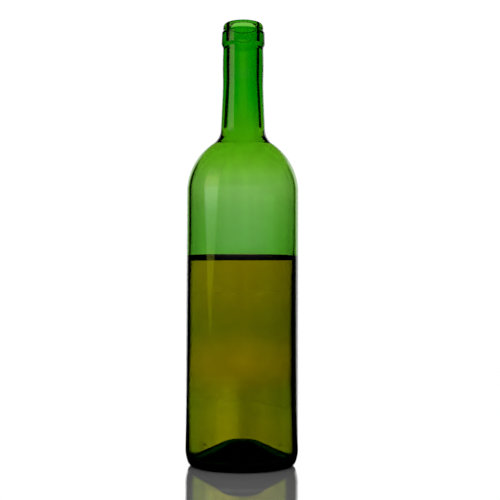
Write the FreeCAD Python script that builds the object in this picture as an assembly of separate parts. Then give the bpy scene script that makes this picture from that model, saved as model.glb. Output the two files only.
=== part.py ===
# Bordeaux wine bottle, 75 cl, open and a little under half full.
#
# Two pieces, each a solid of revolution about +Z, with the origin at the centre of the
# footprint: the glass bottle, and the wine that fills it up to its level.
# Each profile is a chain of straight flanks whose corners are rounded by tangent arcs.
# Millimetres throughout; r is the distance from the axis and z the height.
import FreeCAD, Part
import math
import os

# Overall
HEIGHT = 300.3
BODY_RADIUS = 37.9
WALL_AT_SHOULDER = 2.8
WALL_AT_HEEL = 3.5

# Mouth: a rolled lip above a narrow groove, over the plain ring under it
MOUTH_BORE_RADIUS = 9.3
LIP_RADIUS = 13.85
LIP_OUTER_ROUND = 3.1
LIP_INNER_ROUND = 1.2
GROOVE_RADIUS = 13.2
GROOVE_HEIGHT = 295.2
GROOVE_FLANK = 0.7
RING_TOP_RADIUS = 14.7
RING_TOP_HEIGHT = 293.6
RING_BOTTOM_RADIUS = 14.9
RING_BOTTOM_HEIGHT = 285.6
RING_UNDERSIDE_HEIGHT = 283.2

# Neck: nearly straight, with a slight waist and swell, flaring towards the shoulder
NECK_TOP_RADIUS = 13.8
NECK_SWELL_RADIUS = 14.1
NECK_SWELL_HEIGHT = 271.0
NECK_WAIST_RADIUS = 13.85
NECK_WAIST_HEIGHT = 258.0
NECK_FLARE_RADIUS = 14.1
NECK_FLARE_HEIGHT = 250.0
BORE_FLARE_HEIGHT = 262.0
BORE_ROOT_RADIUS = 11.2
BORE_ROOT_HEIGHT = 221.3
BORE_ROOT_ROUND = 17.0

# Shoulder: the flank between the neck's root and the body, rounded at both ends, with a thinner wall
ROOT_RADIUS = 15.4
ROOT_HEIGHT = 220.7
ROOT_ROUND = 12.5
SHOULDER_HEIGHT = 204.9
SHOULDER_ROUND = 40.2
INNER_SHOULDER_HEIGHT = 204.3

# Heel and punt
HEEL_FLANK_HEIGHT = 7.0
HEEL_FLANK_ROUND = 24.0
HEEL_FOOT_RADIUS = 35.3
HEEL_FOOT_ROUND = 4.3
PUNT_FOOT_RADIUS = 26.0
PUNT_TOP_RADIUS = 6.5
PUNT_HEIGHT = 13.8
PUNT_FOOT_ROUND = 2.0
PUNT_TOP_ROUND = 14.0
FLOOR_THICKNESS = 5.0
FLOOR_TROUGH_RADIUS = 23.5
FLOOR_TROUGH_ROUND = 6.0
INNER_HEEL_ROUND = 5.5

# Wine: flat, with a rim that climbs the glass
WINE_LEVEL = 138.4
MENISCUS_RISE = 2.6
MENISCUS_REACH = 3.2

INNER_HEEL_RADIUS = BODY_RADIUS - WALL_AT_HEEL
INNER_SHOULDER_RADIUS = BODY_RADIUS - WALL_AT_SHOULDER
INNER_SHOULDER_ROUND = SHOULDER_ROUND - WALL_AT_SHOULDER


def point(r, z):
    """A point of the half section, which lies in the XZ plane."""
    return FreeCAD.Vector(r, 0, z)


def rounded_edges(corners):
    """Edges through the corners (r, z, radius), each corner with a radius cut off by a tangent arc."""
    edges = []
    previous_end = point(*corners[0][:2])
    for before, corner, after in zip(corners, corners[1:], corners[2:]):
        tip = point(*corner[:2])
        back = (point(*before[:2]) - tip).normalize()
        ahead = (point(*after[:2]) - tip).normalize()
        half_turn = (math.pi - back.getAngle(ahead)) / 2
        radius = corner[2]
        cut_back = radius * math.tan(half_turn)
        if cut_back > tip.distanceToPoint(previous_end) + 1e-6:
            raise ValueError(f"the round at {corner} overlaps the one before it")
        start = tip + back * cut_back
        end = tip + ahead * cut_back
        if start.distanceToPoint(previous_end) > 1e-6:
            edges.append(Part.makeLine(previous_end, start))
        if radius:
            inward = (back + ahead).normalize()
            middle = tip + inward * (radius / math.cos(half_turn) - radius)
            edges.append(Part.Arc(start, middle, end).toShape())
        previous_end = end
    edges.append(Part.makeLine(previous_end, point(*corners[-1][:2])))
    return edges


def revolved(edges):
    """The solid swept about +Z by the section between the edges and the axis."""
    first = edges[0].Vertexes[0].Point
    last = edges[-1].Vertexes[-1].Point
    wire = Part.Wire(edges + [Part.makeLine(last, first)])
    solid = Part.Face(wire).revolve(FreeCAD.Vector(0, 0, 0), FreeCAD.Vector(0, 0, 1), 360)
    return Part.makeSolid(solid) if solid.ShapeType == "Shell" else solid


def outer_form():
    """The bottle's outside, with the punt pushed up into its base, before it is hollowed."""
    return revolved(rounded_edges([
        (0, PUNT_HEIGHT, 0),
        (PUNT_TOP_RADIUS, PUNT_HEIGHT, PUNT_TOP_ROUND),
        (PUNT_FOOT_RADIUS, 0, PUNT_FOOT_ROUND),
        (HEEL_FOOT_RADIUS, 0, HEEL_FOOT_ROUND),
        (BODY_RADIUS, HEEL_FLANK_HEIGHT, HEEL_FLANK_ROUND),
        (BODY_RADIUS, SHOULDER_HEIGHT, SHOULDER_ROUND),
        (ROOT_RADIUS, ROOT_HEIGHT, ROOT_ROUND),
        (NECK_FLARE_RADIUS, NECK_FLARE_HEIGHT, 100),
        (NECK_WAIST_RADIUS, NECK_WAIST_HEIGHT, 100),
        (NECK_SWELL_RADIUS, NECK_SWELL_HEIGHT, 200),
        (NECK_TOP_RADIUS, RING_UNDERSIDE_HEIGHT, 0.4),
        (RING_BOTTOM_RADIUS, RING_BOTTOM_HEIGHT, 0.5),
        (RING_TOP_RADIUS, RING_TOP_HEIGHT, 1.4),
        (GROOVE_RADIUS, GROOVE_HEIGHT, 0.25),
        (LIP_RADIUS, GROOVE_HEIGHT + GROOVE_FLANK, 0.5),
        (LIP_RADIUS, HEIGHT, LIP_OUTER_ROUND),
        (0, HEIGHT, 0),
    ]))


def mouth_rounding():
    """What the rounded inner edge of the lip takes away beyond the plain bore."""
    flare = LIP_INNER_ROUND
    edges = [
        Part.makeLine(point(0, HEIGHT - flare), point(MOUTH_BORE_RADIUS, HEIGHT - flare)),
        Part.Arc(
            point(MOUTH_BORE_RADIUS, HEIGHT - flare),
            point(MOUTH_BORE_RADIUS + flare * (1 - math.sqrt(0.5)), HEIGHT - flare * (1 - math.sqrt(0.5))),
            point(MOUTH_BORE_RADIUS + flare, HEIGHT),
        ).toShape(),
        Part.makeLine(point(MOUTH_BORE_RADIUS + flare, HEIGHT), point(0, HEIGHT)),
    ]
    return revolved(edges)


def cavity():
    """The room inside the glass, from the floor over the punt up to the mouth."""
    floor_top = PUNT_HEIGHT + FLOOR_THICKNESS
    trough = FLOOR_THICKNESS
    return revolved(rounded_edges([
        (0, floor_top, 0),
        (PUNT_TOP_RADIUS, floor_top, PUNT_TOP_ROUND - FLOOR_THICKNESS / 2),
        (FLOOR_TROUGH_RADIUS, trough, FLOOR_TROUGH_ROUND),
        (INNER_HEEL_RADIUS, trough, INNER_HEEL_ROUND),
        (INNER_SHOULDER_RADIUS, INNER_SHOULDER_HEIGHT, INNER_SHOULDER_ROUND),
        (BORE_ROOT_RADIUS, BORE_ROOT_HEIGHT, BORE_ROOT_ROUND),
        (MOUTH_BORE_RADIUS, BORE_FLARE_HEIGHT, 150),
        (MOUTH_BORE_RADIUS, HEIGHT, 0),
        (0, HEIGHT, 0),
    ]))


def below_wine_surface():
    """Everything below the wine's surface, whose rim curves up as it nears the glass."""
    contact_height = WINE_LEVEL + MENISCUS_RISE
    way_up = (contact_height - FLOOR_THICKNESS) / (INNER_SHOULDER_HEIGHT - FLOOR_THICKNESS)
    contact_radius = INNER_HEEL_RADIUS + (INNER_SHOULDER_RADIUS - INNER_HEEL_RADIUS) * way_up
    rim = contact_radius - MENISCUS_REACH
    half_turn = math.atan(MENISCUS_RISE / MENISCUS_REACH)
    curve_radius = MENISCUS_REACH / math.sin(2 * half_turn)
    middle = point(
        rim + curve_radius * math.sin(half_turn),
        WINE_LEVEL + curve_radius * (1 - math.cos(half_turn)),
    )
    contact = point(contact_radius, contact_height)
    outside = BODY_RADIUS + 10
    return revolved([
        Part.makeLine(point(0, WINE_LEVEL), point(rim, WINE_LEVEL)),
        Part.Arc(point(rim, WINE_LEVEL), middle, contact).toShape(),
        Part.makeLine(contact, point(outside, contact.z)),
        Part.makeLine(point(outside, contact.z), point(outside, 0)),
        Part.makeLine(point(outside, 0), point(0, 0)),
    ])


hollow = cavity()
pieces = {
    "bottle": outer_form().cut(hollow).cut(mouth_rounding()),
    "wine": hollow.common(below_wine_surface()),
}

os.makedirs("parts", exist_ok=True)
for name, shape in pieces.items():
    solid = shape.Solids[0]
    solid.exportStep("parts/" + name + ".step")
    print(name, "volume", round(solid.Volume / 1000, 1), "ml, valid", solid.isValid(), "solids", len(shape.Solids))
print("brimful", round(hollow.Volume / 1000, 1), "ml")
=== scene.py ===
import bpy
import math
from mathutils import Matrix, Vector


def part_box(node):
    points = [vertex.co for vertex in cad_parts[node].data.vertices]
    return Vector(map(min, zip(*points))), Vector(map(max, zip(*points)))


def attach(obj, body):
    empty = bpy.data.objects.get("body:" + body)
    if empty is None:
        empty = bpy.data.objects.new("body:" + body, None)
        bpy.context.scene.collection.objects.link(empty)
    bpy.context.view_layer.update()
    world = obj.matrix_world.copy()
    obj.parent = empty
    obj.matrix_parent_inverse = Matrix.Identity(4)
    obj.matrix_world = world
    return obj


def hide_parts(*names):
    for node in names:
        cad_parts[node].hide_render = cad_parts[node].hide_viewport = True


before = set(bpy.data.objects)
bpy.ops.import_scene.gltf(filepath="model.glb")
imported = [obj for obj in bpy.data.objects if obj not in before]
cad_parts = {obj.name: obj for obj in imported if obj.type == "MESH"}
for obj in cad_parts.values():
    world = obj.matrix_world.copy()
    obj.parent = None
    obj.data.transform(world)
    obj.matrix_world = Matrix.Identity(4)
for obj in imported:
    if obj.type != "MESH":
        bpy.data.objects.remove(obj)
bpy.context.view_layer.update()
bpy.ops.object.select_all(action="DESELECT")
mm = 0.001


# The glass.
# One piece of green bottle glass: rounded lip, groove and ring, neck, shoulder, body, heel and punt.
# Its half section, outside and inside, is drawn as one line of flanks and arcs and spun round the axis.
bottle_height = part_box("bottle")[1].z
body_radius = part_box("bottle")[1].x
wall_at_shoulder = 2.8 * mm
wall_at_heel = 3.5 * mm
lip_radius = 13.85 * mm
lip_outer_round = 3.1 * mm
lip_inner_round = 1.2 * mm
groove_radius = 13.2 * mm
groove_height = 295.2 * mm
groove_round = 0.25 * mm
groove_flank = 0.7 * mm
groove_flank_round = 0.5 * mm
ring_top_radius = 14.7 * mm
ring_top_height = 293.6 * mm
ring_top_round = 1.4 * mm
ring_bottom_radius = 14.9 * mm
ring_bottom_height = 285.6 * mm
ring_bottom_round = 0.5 * mm
neck_top_radius = 13.8 * mm
neck_top_height = 283.2 * mm
neck_top_round = 0.4 * mm
neck_swell_radius = 14.1 * mm
neck_swell_height = 271 * mm
neck_swell_round = 200 * mm
neck_waist_radius = 13.85 * mm
neck_waist_height = 258 * mm
neck_waist_round = 100 * mm
neck_flare_radius = 14.1 * mm
neck_flare_height = 250 * mm
neck_flare_round = 100 * mm
root_radius = 15.4 * mm
root_height = 220.7 * mm
root_round = 12.5 * mm
shoulder_height = 204.9 * mm
shoulder_round = 40.2 * mm
heel_flank_height = 7 * mm
heel_flank_round = 24 * mm
heel_foot_radius = 35.3 * mm
heel_foot_round = 4.3 * mm
punt_foot_radius = 26 * mm
punt_foot_round = 2 * mm
punt_height = 13.8 * mm
punt_top_radius = 6.5 * mm
punt_top_round = 14 * mm
mouth_radius = 9.3 * mm
bore_flare_height = 262 * mm
bore_flare_round = 150 * mm
bore_root_radius = 11.7 * mm
bore_root_height = 220.1 * mm
bore_root_round = 17 * mm
inner_shoulder_height = 204.3 * mm
inner_heel_round = 5.5 * mm
floor_thickness = 5 * mm
trough_radius = 26.9 * mm
trough_round = 6 * mm
outside = [
    (0, punt_height, 0),
    (punt_top_radius, punt_height, punt_top_round),
    (punt_foot_radius, 0, punt_foot_round),
    (heel_foot_radius, 0, heel_foot_round),
    (body_radius, heel_flank_height, heel_flank_round),
    (body_radius, shoulder_height, shoulder_round),
    (root_radius, root_height, root_round),
    (neck_flare_radius, neck_flare_height, neck_flare_round),
    (neck_waist_radius, neck_waist_height, neck_waist_round),
    (neck_swell_radius, neck_swell_height, neck_swell_round),
    (neck_top_radius, neck_top_height, neck_top_round),
    (ring_bottom_radius, ring_bottom_height, ring_bottom_round),
    (ring_top_radius, ring_top_height, ring_top_round),
    (groove_radius, groove_height, groove_round),
    (lip_radius, groove_height + groove_flank, groove_flank_round),
    (lip_radius, bottle_height, lip_outer_round),
]
inside = [
    (mouth_radius, bottle_height, lip_inner_round),
    (mouth_radius, bore_flare_height, bore_flare_round),
    (bore_root_radius, bore_root_height, bore_root_round),
    (body_radius - wall_at_shoulder, inner_shoulder_height, shoulder_round - wall_at_shoulder),
    (body_radius - wall_at_heel, floor_thickness, inner_heel_round),
    (trough_radius, floor_thickness, trough_round),
    (punt_top_radius, punt_height + floor_thickness, punt_top_round - floor_thickness / 2),
    (0, punt_height + floor_thickness, 0),
]
flank_step = 8 * mm
glass_arc_step = 0.9 * mm
steps_round = 240
crease = math.radians(45)


def draw_flank(start, end, longest):
    """Extrudes the last point of the section in steps of equal length, up to its next place."""
    steps = max(1, math.ceil((end - start).length / longest))
    for _ in range(steps):
        bpy.ops.mesh.extrude_region_move(TRANSFORM_OT_translate={"value": (end - start) / steps})


def draw_section(name, corners, longest_flank, arc_step):
    """Starts a piece as one point on the axis and draws its section in the XZ plane, corner by corner."""
    points = [Vector((r, 0, z)) for r, z, _ in corners]
    bpy.ops.mesh.primitive_plane_add(size=mm, location=points[0])
    piece = bpy.context.object
    piece.name = name
    bpy.ops.object.transform_apply(location=True, rotation=True, scale=True)
    bpy.ops.object.mode_set(mode="EDIT")
    bpy.ops.mesh.merge(type="CENTER")
    place = points[0]
    for before, tip, after, (_, _, round_radius) in zip(points, points[1:], points[2:], corners[1:]):
        back = (before - tip).normalized()
        ahead = (after - tip).normalized()
        turn = math.pi - back.angle(ahead)
        cut_back = round_radius * math.tan(turn / 2)
        draw_flank(place, tip + back * cut_back, longest_flank)
        center = tip + (back + ahead).normalized() * round_radius / math.cos(turn / 2)
        clockwise = back.cross(ahead).y
        steps = max(3, math.ceil(turn * round_radius / arc_step))
        bpy.ops.mesh.spin(
            steps=steps, angle=math.copysign(turn, clockwise), center=center, axis=(0, 1, 0)
        )
        place = tip + ahead * cut_back
    draw_flank(place, points[-1], longest_flank)
    return piece


def spin_section(steps):
    """Turns the drawn section once round the bottle's axis and closes its seam and poles."""
    bpy.ops.mesh.select_all(action="SELECT")
    bpy.ops.mesh.spin(steps=steps, angle=2 * math.pi, center=(0, 0, 0), axis=(0, 0, 1))
    bpy.ops.mesh.select_all(action="SELECT")
    bpy.ops.mesh.remove_doubles(threshold=0.001 * mm)
    bpy.ops.mesh.normals_make_consistent(inside=False)
    bpy.ops.object.mode_set(mode="OBJECT")
    bpy.ops.object.shade_smooth_by_angle(angle=crease)


def fade(value, low, high):
    """A smooth step from nought at low to one at high."""
    part = min(1, max(0, (value - low) / (high - low)))
    return part * part * (3 - 2 * part)


# The lean and the waves of the inner wall, in millimetres. Both grow from the start height to the full one
# above the heel. Each then fades out between its own two heights below the shoulder.
lean = 0.7
wave_height = 0.08
outer_skin = 1.2 * mm
even_radius = 24 * mm
uneven_spread = 7 * mm
uneven_start = 10 * mm
uneven_full = 60 * mm
lean_full = 120 * mm
lean_end = 160 * mm
wave_full = 110 * mm
wave_end = 170 * mm


def make_uneven(piece):
    """Moves the inner wall of the body: thinner glass on the left, and faint waves round the bottle."""
    for vertex in piece.data.vertices:
        x, y, z = vertex.co
        radius = math.hypot(x, y)
        if radius > body_radius - outer_skin or radius < even_radius:
            continue
        up = fade(z, uneven_start, uneven_full)
        leaning = up * fade(z, lean_end, lean_full)
        waving = up * fade(z, wave_end, wave_full)
        outward = min(1, (radius - even_radius) / uneven_spread)
        angle = math.atan2(y, x)
        waves = math.sin(5 * angle + 1.9) + 0.7 * math.sin(8 * angle + 0.6)
        shift = (wave_height * waves * waving - lean * math.cos(angle) * leaning) * mm * outward
        vertex.co.x += shift * math.cos(angle)
        vertex.co.y += shift * math.sin(angle)


bottle = draw_section("green_glass_bottle", outside + inside, flank_step, glass_arc_step)
spin_section(steps_round)
make_uneven(bottle)

# A ring of small dents just above the heel, with a gap at the front right.
# Angles are in degrees; the gap is counted from the first dent.
dent_height = 10.5 * mm
dent_spacing = 6
first_dent = -111
gap_start = 3
gap_end = 87
dent_size = 0.8 * mm
dent_rim = 0.3 * mm
dent_depth = 0.5 * mm
outer_wall = 37.5 * mm
bpy.ops.object.mode_set(mode="EDIT")
bpy.ops.mesh.select_mode(type="VERT")
bpy.ops.mesh.select_all(action="DESELECT")
bpy.ops.object.mode_set(mode="OBJECT")
dent_row = min(
    (v.co.z for v in bottle.data.vertices if math.hypot(v.co.x, v.co.y) > outer_wall),
    key=lambda z: abs(z - dent_height),
)
for vertex in bottle.data.vertices:
    x, y, z = vertex.co
    turned = math.degrees(math.atan2(y, x)) - first_dent
    in_ring = math.hypot(x, y) > outer_wall and abs(z - dent_row) < 0.1 * mm
    on_dent = abs(turned - dent_spacing * round(turned / dent_spacing)) < 0.5
    vertex.select = in_ring and on_dent and not gap_start < turned < gap_end
bpy.ops.object.mode_set(mode="EDIT")
bpy.ops.mesh.bevel(offset=dent_size, affect="VERTICES", segments=3)
bpy.ops.mesh.inset(thickness=dent_rim, depth=-dent_depth, use_individual=True)
bpy.ops.object.mode_set(mode="OBJECT")
bpy.ops.object.shade_smooth_by_angle(angle=crease)


def add_node(kind, **settings):
    """Adds a node to the material or world in hand and sets its properties."""
    node = nodes.new("ShaderNode" + kind)
    for name, value in settings.items():
        setattr(node, name, value)
    return node


def feed(socket, source):
    """Links a socket to another node's output, or gives it a plain number or colour."""
    if isinstance(source, bpy.types.NodeSocket):
        links.new(source, socket)
    else:
        socket.default_value = source


def combine(operation, *terms):
    """A Math node on two or three values."""
    sum_node = add_node("Math", operation=operation)
    for socket, term in zip(sum_node.inputs, terms):
        feed(socket, term)
    return sum_node.outputs[0]


def slide(value, low, high, bottom=0, top=1, course="LINEAR"):
    """A node's value from bottom at low to top at high, and level beyond them."""
    ramp = add_node("MapRange", interpolation_type=course)
    for name, source in (("From Min", low), ("From Max", high), ("To Min", bottom), ("To Max", top)):
        feed(ramp.inputs[name], source)
    feed(ramp.inputs["Value"], value)
    return ramp.outputs[0]


def step(value, low, high, bottom=0, top=1):
    """The same with soft ends."""
    return slide(value, low, high, bottom, top, "SMOOTHSTEP")


def mix_values(share, first, second):
    """The first value where the share is nought, the second where it is one."""
    mix = add_node("Mix", data_type="FLOAT")
    for socket, source in zip((mix.inputs["Factor"], mix.inputs[2], mix.inputs[3]), (share, first, second)):
        feed(socket, source)
    return mix.outputs[0]


def mix_colours(share, first, second, way="MIX"):
    """The first colour where the share is nought, the second, or their product, where it is one."""
    mix = add_node("Mix", data_type="RGBA", blend_type=way)
    for socket, source in zip((mix.inputs["Factor"], mix.inputs[6], mix.inputs[7]), (share, first, second)):
        feed(socket, source)
    return mix.outputs[2]


def colour_along(value, colours):
    """A colour ramp on a value, from pairs of a place between nought and one and a colour."""
    ramp = add_node("ValToRGB")
    stops = ramp.color_ramp.elements
    for number, (place, colour) in enumerate(colours):
        stop = stops[number] if number < 2 else stops.new(place)
        stop.position = place
        stop.color = (*colour, 1)
    feed(ramp.inputs["Fac"], value)
    return ramp.outputs["Color"]


def scale_axes(vector, factors):
    """A vector with each axis multiplied by its own factor."""
    scaled = add_node("VectorMath", operation="MULTIPLY")
    feed(scaled.inputs[1], factors)
    feed(scaled.inputs[0], vector)
    return scaled.outputs[0]


def split_axes(vector):
    """A vector's X, Y and Z."""
    axes = add_node("SeparateXYZ")
    feed(axes.inputs[0], vector)
    return axes.outputs


def distance_from_axis(place):
    """How far a place lies from the bottle's axis."""
    length = add_node("VectorMath", operation="LENGTH")
    feed(length.inputs[0], scale_axes(place, (1, 1, 0)))
    return length.outputs["Value"]


def colour_depth(colour, density):
    """Fills the piece with a colour that deepens with the distance light goes through it."""
    absorption = add_node("VolumeAbsorption")
    feed(absorption.inputs["Color"], (*colour, 1))
    feed(absorption.inputs["Density"], density)
    links.new(absorption.outputs["Volume"], nodes["Material Output"].inputs["Volume"])


white = (1, 1, 1, 1)
black = (0, 0, 0, 1)
glass_index = 1.52
glass_density = 600
glass = bpy.data.materials.new("green_glass")
glass.use_nodes = True
nodes = glass.node_tree.nodes
links = glass.node_tree.links
surface = nodes["Principled BSDF"]
surface.inputs["Transmission Weight"].default_value = 1
surface.inputs["Roughness"].default_value = 0
surface.inputs["IOR"].default_value = glass_index
place = add_node("TexCoord").outputs["Object"]
axes = split_axes(place)
facing = add_node("LayerWeight").outputs["Facing"]

# The tint by height paints light and shade: lighter and darker bands, and a sharp change where the wine wets
# the glass, though the glass is the same on both sides. It also turns greener up the neck.
wetted_top = 140.8 * mm
wetted_edge = 0.1 * mm
tints_and_painted_shade = [
    (0, (1, 1, 1)),
    (18 * mm, (1, 0.98, 1)),
    (30 * mm, (1, 1, 1)),
    (40 * mm, (0.94, 0.97, 1)),
    (50 * mm, (0.9, 0.92, 1)),
    (60 * mm, (0.96, 0.886, 1)),
    (70 * mm, (1, 0.914, 1)),
    (80 * mm, (0.91, 0.89, 1)),
    (91 * mm, (0.76, 0.823, 1)),
    (101 * mm, (0.794, 0.842, 1)),
    (111 * mm, (0.862, 0.88, 1)),
    (131 * mm, (0.92, 0.914, 1)),
    (wetted_top - wetted_edge, (0.93, 0.92, 1)),
    (wetted_top + wetted_edge, (0.52, 0.85, 0.58)),
    (157 * mm, (0.566, 0.873, 0.653)),
    (174 * mm, (0.652, 0.903, 0.797)),
    (184 * mm, (0.755, 0.96, 0.94)),
    (192 * mm, (0.775, 0.99, 0.93)),
    (199 * mm, (0.687, 0.94, 0.62)),
    (207 * mm, (0.58, 0.9, 0.27)),
    (222 * mm, (0.455, 0.89, 0.08)),
    (235 * mm, (0.43, 0.94, 0.12)),
    (258 * mm, (0.3, 0.99, 0.15)),
    (270 * mm, (0.4, 1, 0.1)),
    (282 * mm, (0.33, 1, 0.1)),
    (287 * mm, (0.12, 0.95, 0.1)),
    (294 * mm, (0.07, 0.9, 0.1)),
    (296.5 * mm, (0.45, 1, 0.5)),
]
height = combine("DIVIDE", axes["Z"], bottle_height)
tint_and_painted_shade = colour_along(height, [(z / bottle_height, colour) for z, colour in tints_and_painted_shade])

# Faint upright streaks in the glass.
drag_scale = 130
drag_length = (1, 1, 0.08)
drag = add_node("TexNoise")
drag.inputs["Scale"].default_value = drag_scale
drag.inputs["Detail"].default_value = 3
links.new(scale_axes(place, drag_length), drag.inputs["Vector"])
dragged = add_node("VectorMath", operation="SCALE")
links.new(tint_and_painted_shade, dragged.inputs[0])
links.new(slide(drag.outputs["Fac"], 0.3, 0.7, 0.9, 1), dragged.inputs["Scale"])

# Painted shade: the thick base is painted nearly black, with a painted green band where it turns away from
# the eye.
base_slope = 0.55
base_start = 23.2 * mm
base_end = 22.6 * mm
base_shade_by_slant = [
    (0, (0, 0, 0)),
    (0.4, (0.0005, 0.002, 0.0005)),
    (0.5, (0.004, 0.04, 0.004)),
    (0.64, (0.005, 0.055, 0.005)),
    (0.74, (0.001, 0.002, 0)),
]
base_reflection_shade = [
    (0.4, (0.3, 1, 0.3)),
    (0.64, (0.3, 1, 0.3)),
    (0.7, (0.3, 0.6, 0.3)),
    (0.76, (0.05, 0.1, 0.05)),
    (0.8, (0, 0, 0)),
]
bottom_depth = combine("MULTIPLY_ADD", distance_from_axis(place), base_slope, axes["Z"])
at_dome = slide(bottom_depth, base_start, base_end)
dome_shade = mix_colours(at_dome, dragged.outputs[0], colour_along(facing, base_shade_by_slant))

# Painted shade: the neck's flanks, where they turn away from the eye, are painted a cooler, deeper green,
# which fades in above the root and out below the mouth.
neck_shade_green = (0.2, 0.9, 0.6, 1)
flank_start = 228 * mm
flank_full = 250 * mm
flank_fading = 286 * mm
flank_end = 290 * mm
up_the_neck = slide(axes["Z"], flank_start, flank_full)
below_mouth = slide(axes["Z"], flank_end, flank_fading)
along_neck = combine("MULTIPLY", up_the_neck, below_mouth)
at_shaded_neck_flank = combine("MULTIPLY", along_neck, step(facing, 0.005, 0.09))
neck_flank_shaded_colour = mix_colours(at_shaded_neck_flank, dome_shade, neck_shade_green, "MULTIPLY")
links.new(neck_flank_shaded_colour, surface.inputs["Base Color"])
# Painted shade: the base is made fully metallic, so its painted black lets no light through.
links.new(at_dome, surface.inputs["Metallic"])
# Painted shade on the reflections: at the base they are tinted green and fade to black at grazing.
dome_gloss_shade = mix_colours(at_dome, white, colour_along(facing, base_reflection_shade))
links.new(dome_gloss_shade, surface.inputs["Specular Tint"])
colour_depth((0.688, 0.833, 0.3), glass_density)
bottle.data.materials.append(glass)
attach(bottle, "root")
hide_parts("bottle")


# The wine.
# Clear white wine up to its level, with a rim that climbs the glass where it meets it.
# Its section follows the inside of the glass and reaches a little way into the wall, so nothing parts them.
reach = 0.15 * mm
wine_level = 139.6 * mm
rim_rise = 1.4 * mm
rim_width = 2.2 * mm
wine_arc_step = 0.6 * mm
way_up = (wine_level + rim_rise - floor_thickness) / (inner_shoulder_height - floor_thickness)
rim_radius = body_radius - wall_at_heel + (wall_at_heel - wall_at_shoulder) * way_up
half_turn = math.atan(rim_rise / rim_width)
rim_round = rim_width / math.sin(2 * half_turn)
rim_corner = rim_radius - rim_width + rim_round * math.tan(half_turn)
wine_section = [
    (0, punt_height + floor_thickness - reach, 0),
    (punt_top_radius, punt_height + floor_thickness - reach, punt_top_round - floor_thickness / 2),
    (trough_radius, floor_thickness - reach, trough_round),
    (body_radius - wall_at_heel + reach, floor_thickness - reach, inner_heel_round),
    (rim_radius + reach, wine_level + rim_rise, 0),
    (rim_radius, wine_level + rim_rise, 0),
    (rim_corner, wine_level, rim_round),
    (0, wine_level, 0),
]
wine = draw_section("white_wine", wine_section, flank_step, wine_arc_step)
spin_section(steps_round)
make_uneven(wine)

wine_index = 1.34
wine_density = 80
drink = bpy.data.materials.new("white_wine")
drink.use_nodes = True
nodes = drink.node_tree.nodes
links = drink.node_tree.links
surface = nodes["Principled BSDF"]
surface.inputs["Transmission Weight"].default_value = 1
surface.inputs["Roughness"].default_value = 0
surface.inputs["IOR"].default_value = wine_index
place = add_node("TexCoord").outputs["Object"]
axes = split_axes(place)
from_axis = distance_from_axis(place)

# Painted shade: the edges are painted black where the wall bends the view away; the slants are Layer Weight
# values.
slant_at_foot = 0.225
slant_above = 0.2
slant_on_right = 0.203
slant_width = 0.04
wall_depth = 0.5 * mm
left_slant = slide(axes["Z"], 30 * mm, 80 * mm, slant_at_foot, slant_above)
on_right = combine("GREATER_THAN", axes["X"], 0)
edge_slant = mix_values(on_right, left_slant, slant_on_right)
edge_end = combine("ADD", edge_slant, slant_width)
edge = step(add_node("LayerWeight").outputs["Facing"], edge_slant, edge_end)
at_wall = combine("GREATER_THAN", from_axis, body_radius - wall_at_heel - wall_depth)
flank_shade = combine("MULTIPLY", edge, at_wall)

# Painted shade: the rim that climbs the glass is painted black.
climbing = slide(axes["Z"], wine_level - 1.5 * mm, wine_level - 1.2 * mm)
below_film = slide(axes["Z"], wine_level + 0.5 * mm, wine_level + 0.1 * mm)
thick_film = combine("MULTIPLY", climbing, below_film)
near_rim = combine("GREATER_THAN", from_axis, rim_radius - rim_width + 0.3 * mm)
rim_painted_shade = combine("MULTIPLY", thick_film, near_rim)
darkness = combine("MAXIMUM", flank_shade, rim_painted_shade)

# Painted light and shade: lighter and darker bands across the wine, softer above and stronger near the base.
painted_bands = [
    (0, (0.85, 0.8, 1)),
    (0.1, (0.78, 0.76, 1)),
    (0.17, (0.66, 0.6, 1)),
    (0.25, (0.74, 0.74, 1)),
    (0.7, (0.78, 0.72, 1)),
    (0.8, (0.74, 0.54, 1)),
    (0.88, (0.72, 0.46, 1)),
    (1, (0.8, 0.5, 1)),
]
painted_low_bands = [
    (0.03, (0.6, 0.65, 1)),
    (0.144, (0.53, 0.58, 1)),
    (0.2, (0.43, 0.45, 1)),
    (0.26, (0.57, 0.6, 1)),
    (0.32, (0.85, 0.85, 1)),
    (0.38, (1, 1, 1)),
    (0.44, (0.82, 0.85, 1)),
    (0.5, (0.46, 0.49, 1)),
    (0.6, (0.49, 0.51, 1)),
    (0.68, (0.7, 0.69, 1)),
    (0.74, (0.5, 0.51, 1)),
    (0.8, (0.39, 0.39, 1)),
    (0.86, (0.52, 0.51, 1)),
    (1, (0.9, 0.6, 1)),
]
across = slide(axes["X"], -body_radius, body_radius)
low_down = step(axes["Z"], 68 * mm, 46 * mm)
painted_band_colour = mix_colours(low_down, colour_along(across, painted_bands), colour_along(across, painted_low_bands))
rim_shade = mix_colours(darkness, painted_band_colour, black)
links.new(rim_shade, surface.inputs["Base Color"])
colour_depth((1, 0.89, 0), wine_density)
wine.data.materials.append(drink)
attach(wine, "root")
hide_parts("wine")


# The floor.
# A wide board of polished white acrylic that the bottle stands on. It mirrors at a low angle of view,
# but not far away. What reflects the board sees it white before the panel and black elsewhere.
def before_panel(direction):
    """One where a horizontal direction from the bottle meets the white panel behind it, nought elsewhere."""
    axes = split_axes(direction)
    left_edge = step(axes["X"], -0.52, -0.42)
    right_edge = step(axes["X"], 0.5, 0.64, 1, 0)
    behind = step(axes["Y"], 0, 0.2)
    return combine("MULTIPLY", combine("MULTIPLY", left_edge, right_edge), behind)


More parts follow.
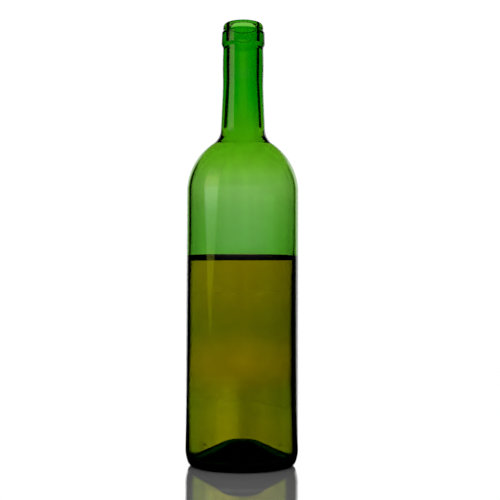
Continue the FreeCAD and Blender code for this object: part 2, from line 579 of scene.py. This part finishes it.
floor_size = 200
most_mirrored = 0.9
bpy.ops.mesh.primitive_plane_add(size=floor_size, location=(0, 0, 0))
floor = bpy.context.object
floor.name = "floor"
board = bpy.data.materials.new("white_board")
board.use_nodes = True
nodes = board.node_tree.nodes
links = board.node_tree.links
nodes.remove(nodes["Principled BSDF"])
matt = add_node("BsdfDiffuse")
matt.inputs["Color"].default_value = white
polish = add_node("BsdfGlossy")
polish.inputs["Color"].default_value = white
polish.inputs["Roughness"].default_value = 0.04
facing = add_node("LayerWeight").outputs["Facing"]
sheen = step(facing, 0.55, 0.8, 0, most_mirrored)
far_away = step(facing, 0.88, 0.94, 1, 0)
polished_board = add_node("MixShader")
links.new(combine("MULTIPLY", sheen, far_away), polished_board.inputs["Fac"])
links.new(matt.outputs[0], polished_board.inputs[1])
links.new(polish.outputs[0], polished_board.inputs[2])
bearing = add_node("VectorMath", operation="NORMALIZE")
links.new(add_node("TexCoord").outputs["Object"], bearing.inputs[0])
mirrored_board = add_node("BsdfDiffuse")
links.new(before_panel(bearing.outputs[0]), mirrored_board.inputs["Color"])
choice = add_node("MixShader")
links.new(add_node("LightPath").outputs["Glossy Depth"], choice.inputs["Fac"])
links.new(polished_board.outputs[0], choice.inputs[1])
links.new(mirrored_board.outputs[0], choice.inputs[2])
links.new(choice.outputs[0], nodes["Material Output"].inputs["Surface"])
floor.data.materials.append(board)


# The painted shadow.
# A thin black disc on the floor, under the hollow of the base: a painted shadow, not a mat.
# It keeps the white floor from lighting the base from below.
shadow_disc_radius = 31 * mm
shadow_disc_height = 0.02 * mm
bpy.ops.mesh.primitive_circle_add(
    vertices=96, radius=shadow_disc_radius, fill_type="NGON", location=(0, 0, shadow_disc_height)
)
shadow_disc = bpy.context.object
shadow_disc.name = "painted_shadow_under_the_base"
shadow_black = bpy.data.materials.new("painted_shadow_black")
shadow_black.use_nodes = True
shadow_black_surface = shadow_black.node_tree.nodes["Principled BSDF"]
shadow_black_surface.inputs["Base Color"].default_value = black
shadow_black_surface.inputs["Specular IOR Level"].default_value = 0
shadow_disc.data.materials.append(shadow_black)


# The light.
# A white surround. What the glass mirrors sharply is a white panel behind it, and a dim room in front
# with one low, soft window. Inside the glass there is also light from overhead.
world = bpy.data.worlds.new("studio")
bpy.context.scene.world = world
world.use_nodes = True
nodes = world.node_tree.nodes
links = world.node_tree.links
surround_strength = 1.04
path = add_node("LightPath").outputs
direction = add_node("TexCoord").outputs["Generated"]
axes = split_axes(direction)
panel = before_panel(direction)
window_front = step(axes["Y"], -1.1, -0.1, 1, 0)
window_sill = step(axes["Z"], 0.03, 0.05, 0, 0.8)
window_head = step(axes["Z"], 0.04, 0.2, 1, 0)
window = combine("MULTIPLY", combine("MULTIPLY", window_front, window_sill), window_head)
outside_only = step(path["Transmission Depth"], 0.4, 0.6, 1, 0)
high_up = step(axes["Z"], 0.3, 0.5)
panel_top = combine("MULTIPLY", panel, combine("MULTIPLY", high_up, outside_only))
panel = combine("SUBTRACT", panel, panel_top)
room = combine("ADD", panel, combine("MULTIPLY", window, outside_only))
overhead = step(axes["Z"], 0.3, 0.45)
overhead = combine("SUBTRACT", overhead, combine("MULTIPLY", overhead, outside_only))
room = combine("MAXIMUM", room, overhead)
mirrored = step(path["Glossy Depth"], 0.4, 0.6)
sharply = combine("MULTIPLY", mirrored, path["Is Singular Ray"])
links.new(mix_values(sharply, surround_strength, room), nodes["Background"].inputs["Strength"])
nodes["Background"].inputs["Color"].default_value = white


# The strip light.
# A tall soft strip on the left, cut to a point at its foot, that only sharp mirrors and glass show.
# It draws the streak down the glass.
strip_width = 0.26
strip_foot = 0.04
strip_point = 0.24
strip_top = 0.95
strip_distance = 0.86
strip_bearing = math.radians(-66.5)
strip_strength = 2
strip_mesh = bpy.data.meshes.new("strip")
outline = [
    (0, strip_foot),
    (strip_width, strip_foot + strip_point),
    (strip_width, strip_top),
    (-strip_width, strip_top),
    (-strip_width, strip_foot + strip_point),
]
strip_mesh.from_pydata([(x, 0, z) for x, z in outline], [], [range(len(outline))])
strip = bpy.data.objects.new("strip", strip_mesh)
bpy.context.scene.collection.objects.link(strip)
strip.location = Matrix.Rotation(strip_bearing, 3, "Z") @ Vector((0, -strip_distance, 0))
strip.rotation_euler = (0, 0, strip_bearing)
strip.visible_camera = False
strip.visible_diffuse = False
strip.visible_shadow = False
glow = bpy.data.materials.new("strip_glow")
glow.use_nodes = True
nodes = glow.node_tree.nodes
links = glow.node_tree.links
nodes.remove(nodes["Principled BSDF"])
levels = [
    (0.04, (0.4, 0.42, 0)),
    (0.165, (0.4, 0.4, 0)),
    (0.185, (0.37, 0.4, 0.3)),
    (0.23, (0.5, 0.6, 0.5)),
    (0.255, (0.9, 1, 0.9)),
    (0.285, (1, 1, 0.9)),
    (0.31, (0.8, 0.6, 0.5)),
    (0.53, (0.8, 0.6, 0.3)),
    (0.6, (0.4, 0.3, 0.2)),
    (0.95, (0, 0, 0)),
]
brightness = colour_along(split_axes(add_node("TexCoord").outputs["Object"])["Z"], levels)
shine = add_node("Emission")
shine.inputs["Strength"].default_value = strip_strength
links.new(brightness, shine.inputs["Color"])
unseen = add_node("BsdfTransparent")
only_sharp = add_node("MixShader")
links.new(add_node("LightPath").outputs["Is Singular Ray"], only_sharp.inputs["Fac"])
links.new(unseen.outputs[0], only_sharp.inputs[1])
links.new(shine.outputs[0], only_sharp.inputs[2])
links.new(only_sharp.outputs[0], nodes["Material Output"].inputs["Surface"])
strip_mesh.materials.append(glow)


# The camera.
# It stands below the wine's level and looks slightly up,
# so the mouth is seen from below and the base from above.
camera_data = bpy.data.cameras.new("camera")
camera_data.sensor_width = 36
camera_data.lens = 75.07
camera = bpy.data.objects.new("camera", camera_data)
bpy.context.scene.collection.objects.link(camera)
camera.location = (0.0051, -0.708, 0.1159)
tilt_up = math.radians(2.35)
roll = math.radians(0.19)
camera.rotation_euler = (
    Matrix.Rotation(math.pi / 2 + tilt_up, 3, "X") @ Matrix.Rotation(roll, 3, "Z")
).to_euler()
bpy.context.scene.camera = camera
bpy.context.scene.view_settings.view_transform = "Standard"
